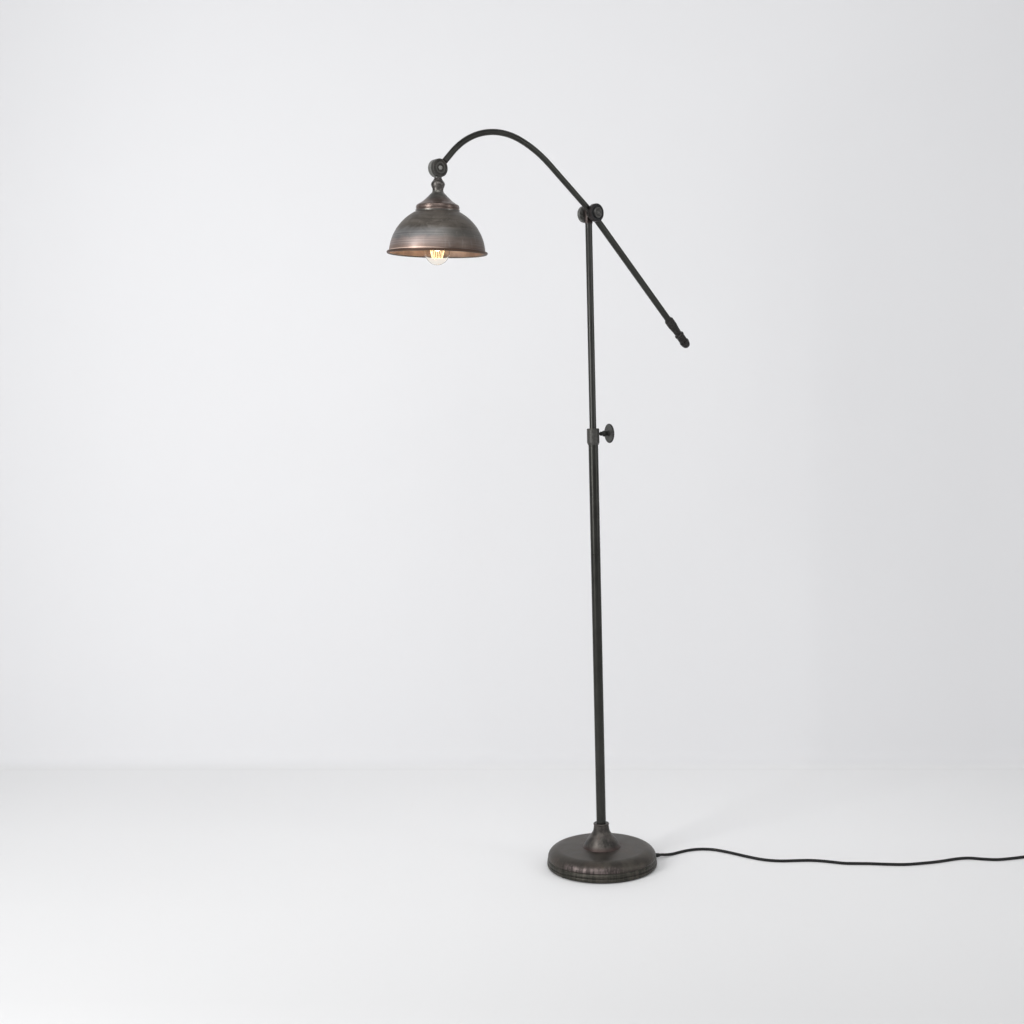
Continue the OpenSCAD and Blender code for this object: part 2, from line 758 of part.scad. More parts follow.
module tail_knob() {
    r = tail_knob_r;
    s = tail_knob_s;
    e = tail_knob_s + tail_knob_l;
    grips = 18;
    color([0.33, 0.29, 0.22]) hub_frame(tail_turn) difference() {
        turned(concat([[spindle_r + fit, s], [r - 1.4, s], [r + 1.2, s + 2], [r + 1.2, s + 5.4],
            [r - 0.2, s + 6.8], [r - 0.4, s + 8.4], [r, s + 9.2], [r, e - 22], [r - 1.4, e - 21],
            [r - 1.4, e - 19.6], [r + 1.3, e - 18], [r + 1.3, e - 14]],
            arc([r - 8, e - 13], 8.6, 13, 0, 75, 8), [[0, e], [0, e - 11], [spindle_r + fit, e - 11]]));
        for (k = [0:grips - 1]) rotate([0, 0, 360 * k / grips])
            translate([r + 0.35, 0, s + 10]) cylinder(r = 0.8, h = tail_knob_l - 33, $fn = 16);
    }
}

// ---- Knuckle and shade ----

module knuckle_arm() {
    r = knuckle_r;
    t = knuckle_front_t;
    color([0.2, 0.19, 0.17]) difference() {
        union() {
            hinge_frame() turned_y(concat([[screw_r + fit, -knuckle_gap]],
                arc([r - 0.8, -knuckle_gap - 0.8], 0.8, 0.8, 90, 0, 3), arc([r - 1.2, -t + 1.2], 1.2, 1.2, 0, -90, 4),
                [[r - 4, -t], [r - 4.6, -t + 0.8], [r - 6, -t + 0.8], [r - 6.6, -t], [8.4, -t],
                    [7.8, -t + 0.8], [screw_r + fit, -t + 0.8]]));
            translate([hinge_x, arm_y, hinge_z]) rotate([0, back_turn, 0]) {
                rod(knuckle_neck_r, r - 3, r + 1);
                rod(arm_r, r + 0.7, rod_end);
                rod(arm_in - 2 * fit, rod_end - 1, rod_end + 15);
            }
        }
        translate([hinge_x, arm_y, hinge_z]) rotate([0, back_turn, 0])
            rod(arm_lead_r + 0.3, r - 7, rod_end + 16);
    }
}

module knuckle_screw() {
    head = 4.6;
    t = knuckle_front_t;
    b = knuckle_back_t;
    color([0.75, 0.74, 0.72]) hinge_frame() difference() {
        turned_y([[0, -t - 1.4], [head - 1.8, -t - 1.2], [head - 0.6, -t - 0.6], [head, -t + 0.4],
            [head, -t + 0.75], [screw_r, -t + 0.75], [screw_r, b - 1], [0, b - 1]]);
        translate([-head - 1, -t - 2, -0.6]) cube([2 * head + 2, 1.4, 1.2]);
    }
}

module knuckle_nut() {
    b = knuckle_back_t;
    color([0.6, 0.58, 0.55]) hinge_frame() rotate([-90, 0, 0]) difference() {
        hex(8, b - 4, b - 1);
        rod(screw_r + 0.01, 0, b);
    }
}

// Shade's half of the knuckle: a disc with a domed back, and a stem that
// clears the arm's disc before it turns round
module knuckle_shade() {
    r = knuckle_r;
    t = knuckle_back_t;
    color([0.36, 0.34, 0.3]) difference() {
        union() {
            hinge_frame() turned_y(concat([[screw_r + fit, knuckle_gap], [r - 0.8, knuckle_gap],
                [r, knuckle_gap + 0.8], [r, 4], [r - 0.6, 4.5], [r - 0.6, 5.2], [r, 5.7]],
                arc([r - 3, t - 3], 3, 3, 0, 90, 6), [[screw_r + fit, t]]));
            head_frame() rod(stem_r, r - 5, urn_top);
            head_frame() rod(thread_r, urn_top - 1, urn_top + stem_thread);
        }
        hinge_frame() rod_y(r + knuckle_clear, -knuckle_front_t - 1, knuckle_gap);
        hinge_frame() rod_y(8 / sqrt(3) + 0.3, t - 4 - fit, t + 1);
        head_frame() rod(thread_bore, r + 0.8, urn_top + stem_thread + 1);
    }
}

module neck_urn() {
    t = urn_top;
    outside = smooth([[stem_r, t], [9.9, t + 4], [13, t + 8.1], [14.2, t + 12.1], [13.2, t + 16.2],
        [11.6, t + 20.2], [11.05, urn_end]]);
    color([0.32, 0.3, 0.26]) head_frame()
        turned(concat(outside, [[thread_r + fit, urn_end], [thread_r + fit, t]]));
}

// Line of the flared cap, from its neck to its shoulder; i is the inset
function cap_line(i) =
    let (t = cap_top, u = cap_l / 31, w = cap_r - 1.1 - 11.05)
    smooth([[11.05 - i, t], [11.05 + 0.04 * w - i, t + 4.1 * u], [11.05 + 0.16 * w - i, t + 8.1 * u],
        [11.05 + 0.28 * w - i, t + 12.2 * u], [11.05 + 0.41 * w - i, t + 16.2 * u],
        [11.05 + 0.54 * w - i, t + 20.2 * u], [11.05 + 0.7 * w - i, t + 24.3 * u],
        [11.05 + 0.92 * w - i, t + 28.4 * u], [11.05 + w - i, t + 30.4 * u]]);

module shade_cap() {
    sheet = cap_sheet;
    r = cap_r;
    inner = [for (p = cap_line(sheet)) if (p[1] > cap_top + sheet) p];
    lip = r + 0.5;
    hem = r - 0.9 - sheet;
    foot = dome_at(lip) - fit;
    color([0.36, 0.34, 0.31]) head_frame() turned(concat([[thread_r + fit, cap_top]], cap_line(0),
        [[r - 0.9, cap_shoulder + 0.5], [r - 0.3, cap_shoulder + 1.8], [r - 0.3, foot - 6.4],
            [r - 0.9, foot - 5.8], [r - 0.9, foot - 5], [lip - 0.2, foot - 4], [lip, foot - 3.4], [lip, foot],
            [hem, dome_at(hem) - fit], [hem, cap_shoulder + 1]],
        reversed(inner), [[inner[0][0], cap_top + sheet], [thread_r + fit, cap_top + sheet]]));
}

module cap_spacer() {
    color("goldenrod") head_frame() pipe(spacer_r, thread_r + fit, cap_top + cap_sheet, dome_top);
}

// Line of the dome's sheet from the nipple's hole to the rim; i is the inset
function dome_line(i) =
    let (a = acos((thread_r + fit) / (dome_r - i)), b = asin(rim_up / (dome_h - i)))
    [for (p = arc([0, 0], dome_r - i, dome_h - i, a, b, 60)) [p[0], dome_d - p[1]]];

// Spun dome, open below, with a rolled rim
module shade_dome() {
    color([0.3, 0.3, 0.28]) head_frame() rotate_extrude($fn = 2 * fn_turn) {
        polygon(concat(dome_line(0), reversed(dome_line(shade_wall))));
        translate([rim_r, rim_d]) circle(rim_bead, $fn = fn_small);
    }
}

module socket_nipple() {
    color("goldenrod") head_frame()
        pipe(thread_r, thread_bore + 0.5, urn_top + stem_thread + 0.3, nipple_end);
}

module lock_nut() {
    color("silver") head_frame() difference() {
        hex(lock_af, lock_d, lock_d + lock_t);
        rod(thread_r + fit, lock_d - 1, lock_d + lock_t + 1);
    }
}

module holder_cap() {
    r = holder_r;
    d = holder_d;
    w = holder_wall;
    color([0.12, 0.12, 0.12]) head_frame() turned([[thread_r + fit, d], [r - 7, d], [r - 1.6, d + 3], [r, d + 8],
        [r, d + 10], [r - w, d + 10], [r - w, d + 8], [r - 3, d + 3.8 + w / 2], [r - 7.5, d + w],
        [thread_r + fit, d + w]]);
}

module lamp_holder() {
    r = holder_r;
    a = holder_d + 10;
    b = holder_d + holder_l;
    color([0.12, 0.12, 0.12]) head_frame() turned([[r - holder_wall, a], [r, a], [r, b - 4], [r + 1.5, b - 4],
        [r + 1.5, b - 1], [r + 0.8, b], [r - 2, b], [r - 2, b - 2], [r - holder_wall, b - 2]]);
}

module insulator() {
    r = holder_r - holder_wall - 0.2;
    color("ivory") head_frame() turned([[0, insulator_d], [thread_bore + 2, insulator_d], [r - 4, insulator_d + 1.5],
        [r, insulator_d + 4.8], [r, contact_d + 4], [bulb_cap_r + 1.6, contact_d + 4],
        [bulb_cap_r + 1.6, contact_d], [0, contact_d]]);
}

module screw_shell() {
    color("goldenrod") head_frame()
        pipe(bulb_cap_r + 0.9, bulb_cap_r + 0.3, contact_d, holder_d + holder_l - 3);
}

module contact_tab() {
    color("goldenrod") head_frame() rod(4, contact_d, bulb_start);
}

module bulb_cap() {
    r = bulb_cap_r;
    d = bulb_start;
    threads = 6;
    pitch = 2.8;
    color("silver") head_frame() turned(concat([[0, d], [4.6, d], [5.2, d + 0.8], [9.5, d + 2.8], [r - 1.4, d + 5]],
        [for (k = [0:threads - 1]) each [[r - 0.9, d + 5.4 + k * pitch], [r, d + 5.4 + (k + 0.3) * pitch],
            [r, d + 5.4 + (k + 0.6) * pitch], [r - 0.9, d + 5.4 + (k + 0.9) * pitch]]],
        [[r - 0.4, glass_start - 1.5], [r - 0.4, glass_start], [0, glass_start]]));
}

// Line of the bulb's glass, from its neck to its tip; i is the inset
function bulb_line(i) =
    let (d = glass_start, b = bulb_r, l = bulb_tip - glass_start, n = bulb_cap_r - 1)
    concat(smooth([[n - i, d], [n + 0.8 - i, d + 0.09 * l], [n + 0.28 * (b - n) - i, d + 0.2 * l],
        [n + 0.62 * (b - n) - i, d + 0.34 * l], [n + 0.9 * (b - n) - i, d + 0.49 * l],
        [b - i, bulb_tip - b]]), [for (a = [10:10:90]) [max((b - i) * cos(a), 0), bulb_tip - b + (b - i) * sin(a)]]);

module bulb_glass() {
    color([1, 0.95, 0.8, 0.6]) head_frame()
        turned(concat(bulb_line(0), reversed(bulb_line(glass_wall))));
}

module bulb_stem() {
    d = glass_start;
    color([0.9, 0.95, 0.95, 0.7]) head_frame()
        turned([[0, d], [6, d], [4, d + 6], [2.2, d + 14], [1.6, d + 24], [2.2, d + 26], [0, d + 27]]);
}

module filament() {
    d = glass_start + 34;
    span = 9;
    color("orange") head_frame() {
        translate([0, 0, d]) rotate_extrude(angle = 270, start = 45, $fn = fn_turn)
            translate([span, 0]) circle(0.7, $fn = 24);
        for (a = [45, 315]) rotate([0, 0, a]) {
            translate([span, 0, glass_start + 12]) cylinder(r = 0.35, h = 22, $fn = 24);
            translate([3, 0, glass_start + 12]) rotate([0, 90, 0]) cylinder(r = 0.35, h = span - 2.8, $fn = 24);
        }
    }
}

// ---- Cord, coil and plug ----

function gland_point(r) = [r * cos(gland_turn), r * sin(gland_turn), gland_z];

cord_path = smooth(concat([gland_point(gland_end + 0.1), gland_point(gland_end + cord_d)], cord_points,
    [[coil_x - 2 * cord_d, plug_y, cord_z], [coil_x - cord_d, plug_y, cord_z]]), 2);

module cord_run() {
    color([0.07, 0.07, 0.07]) cord_frame() swept_tube(cord_path, cord_r, 8);
}

// Point of the coil after t turns: in to the middle on the first layer, up in
// the half turn round the middle, and out again on the second
function coil_point(t) =
    let (mid = coil_turns / 2, in = min(t, coil_turns - t), climb = min(max(t - mid + 0.25, 0) * 2, 1))
    [coil_x + (coil_r - coil_pitch * in) * cos(90 - 360 * t),
        coil_y + (coil_r - coil_pitch * in) * sin(90 - 360 * t),
        cord_z + layer_step * (1 - cos(180 * climb)) / 2];

coil_loops = [for (k = [0:coil_turns * coil_rings]) coil_point(k / coil_rings)];
coil_path = concat([[coil_x - cord_d, plug_y, cord_z]], coil_loops,
    [[coil_x + cord_d, plug_y, plug_z], [coil_x + coil_exit - cord_d, plug_y, plug_z], [plug_x, plug_y, plug_z]]);

// Least space between rings of the coil that are more than a quarter turn apart
function least_gap(p) = min([for (i = [0:len(p) - 1]) for (j = [i + coil_rings / 4:1:len(p) - 1]) norm(p[j] - p[i])])
    - cord_d;
echo(coil_least_gap = least_gap(coil_path));

module cord_coil() {
    color([0.07, 0.07, 0.07]) cord_frame() swept_tube(coil_path, cord_r, 6);
}

module plug_body() {
    h = plug_z;
    w = plug_w / 2;
    color([0.07, 0.07, 0.07]) cord_frame() translate([plug_x, plug_y, plug_z]) rotate([0, 90, 0]) difference() {
        union() {
            turned([[0, 0], [cord_r + 1, 0], [cord_r + 1.4, 4], [cord_r + 1, 5], [cord_r + 1.8, 9],
                [cord_r + 1.4, 10], [cord_r + 2.4, 14], [cord_r + 2, 15],
                [cord_r + 3.4, relief_l + 1], [0, relief_l + 1]]);
            hull() {
                translate([0, 0, relief_l]) linear_extrude(1)
                    square([h * 1.3, plug_w * 0.6], center = true);
                for (x = [-1, 1]) for (y = [-1, 1]) translate([x * (h - 3), y * (w - 3), relief_l + 10])
                    cylinder(r = 3, h = plug_l - 10, $fn = 24);
            }
        }
        blade_pair(fit);
    }
}

module blade_pair(grow) {
    for (y = [-1, 1] * blade_gap / 2)
        translate([-blade_w / 2 - grow, y - blade_t / 2 - grow, relief_l + plug_l - blade_in - grow])
            cube([blade_w + 2 * grow, blade_t + 2 * grow, blade_l + blade_in + grow]);
}

module plug_blades() {
    color("gold") cord_frame() translate([plug_x, plug_y, plug_z]) rotate([0, 90, 0]) blade_pair(0);
}

felt_pad();
base_weight();
base_cover();
base_bell();
bell_ring();
base_nipple();
base_washer();
base_nut();
cord_gland();
base_lead();
tube_insert();
lower_tube();
clutch_collar();
clamp_shoe();
clamp_screw();
clamp_knob();
guide_bush();
bush_clips();
upper_tube();
mast_lead();
pivot_post();
rear_washer();
rear_disc();
front_washer();
pivot_hub();
pivot_nut();
pivot_knob();
arm_rod();
arm_lead();
tail_tube();
tail_ferrule();
tail_switch();
tail_knob();
knuckle_arm();
knuckle_screw();
knuckle_nut();
knuckle_shade();
neck_urn();
shade_cap();
cap_spacer();
shade_dome();
socket_nipple();
lock_nut();
holder_cap();
lamp_holder();
insulator();
screw_shell();
contact_tab();
bulb_cap();
bulb_glass();
bulb_stem();
filament();
cord_run();
cord_coil();
plug_body();
plug_blades();
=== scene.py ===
"""Bridge floor lamp: camera, cord, lit wire, materials, stage and light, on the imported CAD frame.

Metres, in the lamp's own frame: the base's bottom centre is the origin, and the arm
lies in the XZ plane with the shade toward -X and the tail toward +X. Only the cord's
route is in millimetres, in a frame turned about Z, as the CAD source has it.
"""
import json
import math

import bpy
from mathutils import Matrix, Vector


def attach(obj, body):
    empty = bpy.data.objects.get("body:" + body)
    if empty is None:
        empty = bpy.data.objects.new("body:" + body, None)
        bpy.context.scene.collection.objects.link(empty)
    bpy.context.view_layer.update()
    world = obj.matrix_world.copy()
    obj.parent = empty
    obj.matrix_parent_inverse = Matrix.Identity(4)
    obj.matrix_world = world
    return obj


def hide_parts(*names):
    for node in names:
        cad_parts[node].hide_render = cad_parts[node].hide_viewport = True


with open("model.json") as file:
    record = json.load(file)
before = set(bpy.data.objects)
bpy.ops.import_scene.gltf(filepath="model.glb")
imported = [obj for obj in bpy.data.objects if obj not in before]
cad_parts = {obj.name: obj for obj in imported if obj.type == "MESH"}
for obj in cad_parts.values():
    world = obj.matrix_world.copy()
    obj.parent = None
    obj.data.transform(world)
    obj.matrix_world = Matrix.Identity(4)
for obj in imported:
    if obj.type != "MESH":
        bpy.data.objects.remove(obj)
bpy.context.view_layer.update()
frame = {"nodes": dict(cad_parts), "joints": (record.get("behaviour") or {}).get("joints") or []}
NODES = frame["nodes"]

# ---- Joints of the frame, and sizes of the CAD pieces that the looks follow ----


def joint(name):
    return next(j for j in frame["joints"] if j["name"] == name)


ORIGIN = Vector((0, 0, 0))
UP = Vector((0, 0, 1))
PIVOT = Vector(joint("arm_pivot")["pos_m"])
HINGE = Vector(joint("shade_tilt")["pos_m"])

# The shade's axis points from the hinge down through the bulb. A depth is a distance along it.
HEAD_TILT = math.radians(1.5)
HEAD_LEAN = math.radians(2.0)
HEAD_AXIS = Vector((-math.sin(HEAD_TILT), math.cos(HEAD_TILT) * math.sin(HEAD_LEAN),
                    -math.cos(HEAD_TILT) * math.cos(HEAD_LEAN)))

# The dome is half an ellipsoid, with its open edge at this depth
DOME_R = 0.0985
DOME_H = 0.097
DOME_DEPTH = 0.1735
CROWN_DEPTH = DOME_DEPTH - DOME_H
DOME_CENTRE = HINGE + HEAD_AXIS * DOME_DEPTH

# The thumb screw's disc, at this distance from the pole's axis
THUMB_SCREW = joint("thumb_screw_turn")
THUMB_AXIS = Vector(THUMB_SCREW["axis"])
DISC_REACH = 0.0415
DISC_CENTRE = THUMB_AXIS * DISC_REACH + UP * THUMB_SCREW["pos_m"][2]

# ---- Camera: the photograph's 50 mm view ----

CAMERA_AT = Vector((-2.18588, -2.35706, 1.12167))
VIEW_TURN = math.radians(39.5)
VIEW_PITCH = math.radians(5.23)
VIEW_ROLL = math.radians(-1.504)
LENS = 50
SENSOR_WIDTH = 36
VIEW_DEPTH = 50


def make_camera():
    right = Vector((math.cos(VIEW_TURN), -math.sin(VIEW_TURN), 0))
    away = Vector((math.sin(VIEW_TURN), math.cos(VIEW_TURN), 0))
    forward = away * math.cos(VIEW_PITCH) - UP * math.sin(VIEW_PITCH)
    upright = away * math.sin(VIEW_PITCH) + UP * math.cos(VIEW_PITCH)
    across = right * math.cos(VIEW_ROLL) + upright * math.sin(VIEW_ROLL)
    over = upright * math.cos(VIEW_ROLL) - right * math.sin(VIEW_ROLL)
    data = bpy.data.cameras.new("photo_camera")
    data.lens = LENS
    data.sensor_width = SENSOR_WIDTH
    data.clip_end = VIEW_DEPTH
    camera = bpy.data.objects.new("photo_camera", data)
    bpy.context.scene.collection.objects.link(camera)
    camera.matrix_world = Matrix.Translation(CAMERA_AT) @ Matrix(
        (across, over, -forward)).transposed().to_4x4()
    bpy.context.scene.camera = camera


make_camera()

# ---- Tubes: the cord and the lit wire ----


def make_tube(name, places, radius, rings, caps=False):
    """A round tube along the places, as a curve object."""
    data = bpy.data.curves.new(name, "CURVE")
    data.dimensions = "3D"
    data.bevel_depth = radius
    data.bevel_resolution = rings
    data.use_fill_caps = caps
    spline = data.splines.new("POLY")
    spline.points.add(len(places) - 1)
    for point, place in zip(spline.points, places):
        point.co = (*place, 1)
    tube = bpy.data.objects.new(name, data)
    bpy.context.scene.collection.objects.link(tube)
    return tube


# ---- Cord: out of the gland, over the floor, into a coil with the plug beside it ----

MM = 0.001
CORD_D = 6.6
CORD_GAP = 0.1
CORD_Z = CORD_D / 2 + CORD_GAP
CORD_TURN = math.radians(-40)
GLAND_TURN = math.radians(15)
GLAND_Z = 9
GLAND_END = 141

COIL_AT = (1060, -58)
COIL_R = 50
COIL_TURNS = 6
COIL_STEPS = 24
COIL_SPACE = 0.7
COIL_PITCH = CORD_D + COIL_SPACE
COIL_EXIT = 34
LAYER_SPACE = 0.6
LAYER_STEP = CORD_D + LAYER_SPACE
CLIMB_TURNS = 0.5

# Short lengths of the smooth curve between two points of the route
ROUTE_STEPS = 3

# Points that the cord lies along, from the gland to the coil, as the CAD route has them
CORD_POINTS = [
    (153, 45, 6.4), (171, 58, 3.6), (190, 71, 3.4), (211, 82, 3.4), (230, 87, 3.4),
    (251, 87, 3.4), (275, 79, 3.4), (306, 57, 3.4), (342, 26, 3.4), (377, 2, 3.4),
    (413, -8, 3.4), (449, -8, 3.4), (483, -9, 3.4), (515, -18, 3.4), (551, -33, 3.4),
    (580, -37, 3.4), (610, -40, 3.4), (643, -46, 3.4), (686, -51, 3.4), (727, -46, 3.4),
    (768, -37, 3.4), (812, -22, 3.4), (842, -18, 3.4), (872, -27, 3.4), (904, -33, 3.4),
    (939, -27, 3.4), (969, -19, 3.4), (1000, -11, 3.4), (1028, -8, 3.4),
]


def gland_point(radius):
    return (radius * math.cos(GLAND_TURN), radius * math.sin(GLAND_TURN), GLAND_Z)


def coil_point(turns):
    """In to the middle on the first layer, up in the half turn there, and out on the second."""
    inward = min(turns, COIL_TURNS - turns)
    climb = min(max(turns - (COIL_TURNS - CLIMB_TURNS) / 2, 0) / CLIMB_TURNS, 1)
    radius = COIL_R - COIL_PITCH * inward
    angle = math.radians(90 - 360 * turns)
    return (COIL_AT[0] + radius * math.cos(angle), COIL_AT[1] + radius * math.sin(angle),
            CORD_Z + LAYER_STEP * (1 - math.cos(math.pi * climb)) / 2)


def smooth(points):
    """A smooth curve through the points, by the Catmull-Rom formula."""
    last = len(points) - 1
    curve = []
    for i in range(last):
        before, here = points[max(i - 1, 0)], points[i]
        there, after = points[i + 1], points[min(i + 2, last)]
        for k in range(ROUTE_STEPS):
            t = k / ROUTE_STEPS
            curve.append(0.5 * (2 * here + (there - before) * t
                                + (2 * before - 5 * here + 4 * there - after) * t * t
                                + (3 * here - before - 3 * there + after) * t ** 3))
    return curve + [points[last]]


def cord_route():
    """The cord's centre line in metres, from the gland to the plug."""
    coil_x, coil_y = COIL_AT
    run_y = coil_y + COIL_R
    plug_z = CORD_Z + LAYER_STEP
    route = [gland_point(GLAND_END + CORD_GAP), gland_point(GLAND_END + CORD_D), *CORD_POINTS,
             (coil_x - CORD_D, run_y, CORD_Z)]
    route += [coil_point(k / COIL_STEPS) for k in range(COIL_TURNS * COIL_STEPS + 1)]
    route += [(coil_x + CORD_D, run_y, plug_z), (coil_x + COIL_EXIT, run_y, plug_z)]
    turn = Matrix.Rotation(CORD_TURN, 3, "Z")
    return smooth([turn @ Vector(point) * MM for point in route])


def make_cord():
    route = cord_route()
    cord = make_tube("cord", route, CORD_D * MM / 2, rings=4, caps=True)
    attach(cord, "stand")
    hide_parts("cord_run", "cord_coil")
    return cord


CORD = make_cord()

# ---- Lit wire: one line that runs down and up beside the bulb's stem, all the way round ----

WIRE_R = 0.0004
WIRE_RUNS = 20

# Depth, and distance from the shade's axis, at the places that each run passes
WIRE_RUN = ((0.136, 0.009), (0.150, 0.0145), (0.164, 0.0145), (0.180, 0.0105))


def wire_route():
    across = HEAD_AXIS.orthogonal().normalized()
    over = HEAD_AXIS.cross(across)
    route = []
    for k in range(WIRE_RUNS):
        angle = 2 * math.pi * k / WIRE_RUNS
        out = across * math.cos(angle) + over * math.sin(angle)
        run = WIRE_RUN if k % 2 == 0 else WIRE_RUN[::-1]
        route += [HINGE + HEAD_AXIS * depth + out * radius for depth, radius in run]
    return route


def make_wire():
    wire = make_tube("wire_cage", wire_route(), WIRE_R, rings=2)
    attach(wire, "head")
    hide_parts("filament")
    return wire


WIRE = make_wire()

# ---- Node graphs ----

# Sockets of the Mix node that carry colours
MIX_A, MIX_B, MIX_RESULT = 6, 7, 2


class Graph:
    """A material's node tree, with one short method for each kind of node used here."""

    def __init__(self, name):
        self.material = bpy.data.materials.new(name)
        self.material.use_nodes = True
        self.tree = self.material.node_tree
        self.shader = self.tree.nodes["Principled BSDF"]
        self.output = self.tree.nodes["Material Output"]
        self.place = self.add("ShaderNodeTexCoord").outputs["Object"]

    def add(self, kind, **settings):
        node = self.tree.nodes.new(kind)
        for key, value in settings.items():
            setattr(node, key, value)
        return node

    def feed(self, socket, value):
        """Links a socket to the input, or sets its number, vector or colour."""
        if isinstance(value, bpy.types.NodeSocket):
            self.tree.links.new(value, socket)
        elif isinstance(value, (tuple, list)) and len(value) == 3 and socket.type == "RGBA":
            socket.default_value = (*value, 1)
        else:
            socket.default_value = value

    def set(self, **inputs):
        """Inputs of the shader by name, with an underscore for each space."""
        for name, value in inputs.items():
            self.feed(self.shader.inputs[name.replace("_", " ")], value)

    def base_colour(self):
        return self.shader.inputs["Base Color"].links[0].from_socket

    def math(self, operation, a, b=0.0, clamp=False):
        node = self.add("ShaderNodeMath", operation=operation, use_clamp=clamp)
        self.feed(node.inputs[0], a)
        self.feed(node.inputs[1], b)
        return node.outputs[0]

    def times(self, a, b):
        return self.math("MULTIPLY", a, b)

    def less(self, value):
        """1 minus the value."""
        return self.math("SUBTRACT", 1.0, value)

    def vector(self, operation, a, b=(0, 0, 0), out="Vector"):
        node = self.add("ShaderNodeVectorMath", operation=operation)
        self.feed(node.inputs[0], a)
        self.feed(node.inputs[1], b)
        return node.outputs[out]

    def scaled(self, scale):
        """The place, stretched by scale along X, Y and Z."""
        return self.vector("MULTIPLY", self.place, scale)

    def along(self, origin, axis):
        """Distance from origin along axis, in metres."""
        away = self.vector("SUBTRACT", self.place, tuple(origin))
        return self.vector("DOT_PRODUCT", away, tuple(axis), out="Value")

    def distance(self, origin):
        return self.vector("DISTANCE", self.place, tuple(origin), out="Value")

    def reach(self, origin):
        """Distance from the line along Y through origin, which both of the arm's joints turn on."""
        flat = self.vector("MULTIPLY", self.vector("SUBTRACT", self.place, tuple(origin)), (1, 0, 1))
        return self.vector("LENGTH", flat, out="Value")

    def share(self, value, low, high):
        """0 at low, 1 at high, in proportion between and beyond."""
        return self.times(self.math("ADD", value, -low), 1 / (high - low))

    def step(self, value, low, high):
        """0 below low, 1 above high, smooth between."""
        node = self.add("ShaderNodeMapRange", interpolation_type="SMOOTHSTEP")
        self.feed(node.inputs["Value"], value)
        node.inputs["From Min"].default_value = low
        node.inputs["From Max"].default_value = high
        return node.outputs[0]

    def band(self, value, start, end):
        """1 from start to end, 0 elsewhere. Each is a pair, low and high, as in step."""
        return self.math("SUBTRACT", self.step(value, *start), self.step(value, *end), clamp=True)

    def noise(self, scale, detail=4.0, rough=0.5, place=None, distortion=0.0):
        node = self.add("ShaderNodeTexNoise")
        self.feed(node.inputs["Vector"], place or self.place)
        node.inputs["Scale"].default_value = scale
        node.inputs["Detail"].default_value = detail
        node.inputs["Roughness"].default_value = rough
        node.inputs["Distortion"].default_value = distortion
        return node.outputs[0]

    def cells(self, scale, place):
        node = self.add("ShaderNodeTexVoronoi", feature="SMOOTH_F1")
        self.feed(node.inputs["Vector"], place)
        node.inputs["Scale"].default_value = scale
        return node.outputs[0]

    def ramp(self, value, *stops):
        """Colours or grey levels at places from 0 to 1."""
        node = self.add("ShaderNodeValToRGB")
        self.feed(node.inputs[0], value)
        ramp = node.color_ramp
        while len(ramp.elements) < len(stops):
            ramp.elements.new(1)
        for element, (place, colour) in zip(ramp.elements, stops):
            element.position = place
            level = colour if isinstance(colour, (tuple, list)) else (colour,) * 3
            element.color = (*level, 1)
        return node.outputs[0]

    def mix(self, share, a, b, blend="MIX"):
        """Colour a where the share is 0, and b where it is 1."""
        node = self.add("ShaderNodeMix", data_type="RGBA", blend_type=blend)
        self.feed(node.inputs[0], share)
        self.feed(node.inputs[MIX_A], a)
        self.feed(node.inputs[MIX_B], b)
        return node.outputs[MIX_RESULT]

    def bump(self, height, distance, strength, normal=None):
        node = self.add("ShaderNodeBump")
        node.inputs["Strength"].default_value = strength
        node.inputs["Distance"].default_value = distance
        self.feed(node.inputs["Height"], height)
        if normal is not None:
            self.feed(node.inputs["Normal"], normal)
        return node.outputs[0]


def paint(material, *nodes):
    """Gives every listed CAD node this one material."""
    for name in nodes:
        mesh = NODES[name].data
        mesh.materials.clear()
        mesh.materials.append(material)


# ---- Materials: metals ----

# Directions in the rest pose: to the camera, and to the lit sides where highlights are painted
CAMERA_SIDE = (-0.64, -0.77, 0)
FOOT_LIT_SIDE = (-0.817, -0.578, 0)
DOME_HIGHLIGHT_SIDE = (-0.96, 0.28, 0)
DOME_LIT_SIDE = (-0.966, -0.264, 0)

# From here on a pair of places is where a change begins and where it is complete.
# Heights on the foot, and the reach of its lit side from the pole's axis:
BAND_TOP = (0.0205, 0.0215)
STROKES_START = (0.0215, 0.0235)
STROKES_END = (0.03, 0.04)
BELL_START = (0.0455, 0.0465)
BELL_RISE = (0.0475, 0.056)
FOOT_LIT = (0.092, 0.116)

# The thumb screw's disc: its dark edge from the disc's centre, its back from the pole's axis
DISC_EDGE = (0.0195, 0.0212)
DISC_BACK = (DISC_REACH - 0.0024, DISC_REACH - 0.0016)

# Front knob, out from the pivot's axis
GROOVE_START = (0.0042, 0.005)
GROOVE_END = (0.0064, 0.0072)
BOSS_EDGE = (0.0108, 0.0118)
KNOB_EDGE = (0.0178, 0.0186)

# Knuckle, out from the hinge's axis
RING_START = (0.0085, 0.0095)
RING_END = (0.0115, 0.0125)
RIM_START = (0.0165, 0.0178)
RIM_END = (0.0184, 0.019)
KNUCKLE_EDGE = (0.0192, 0.0196)


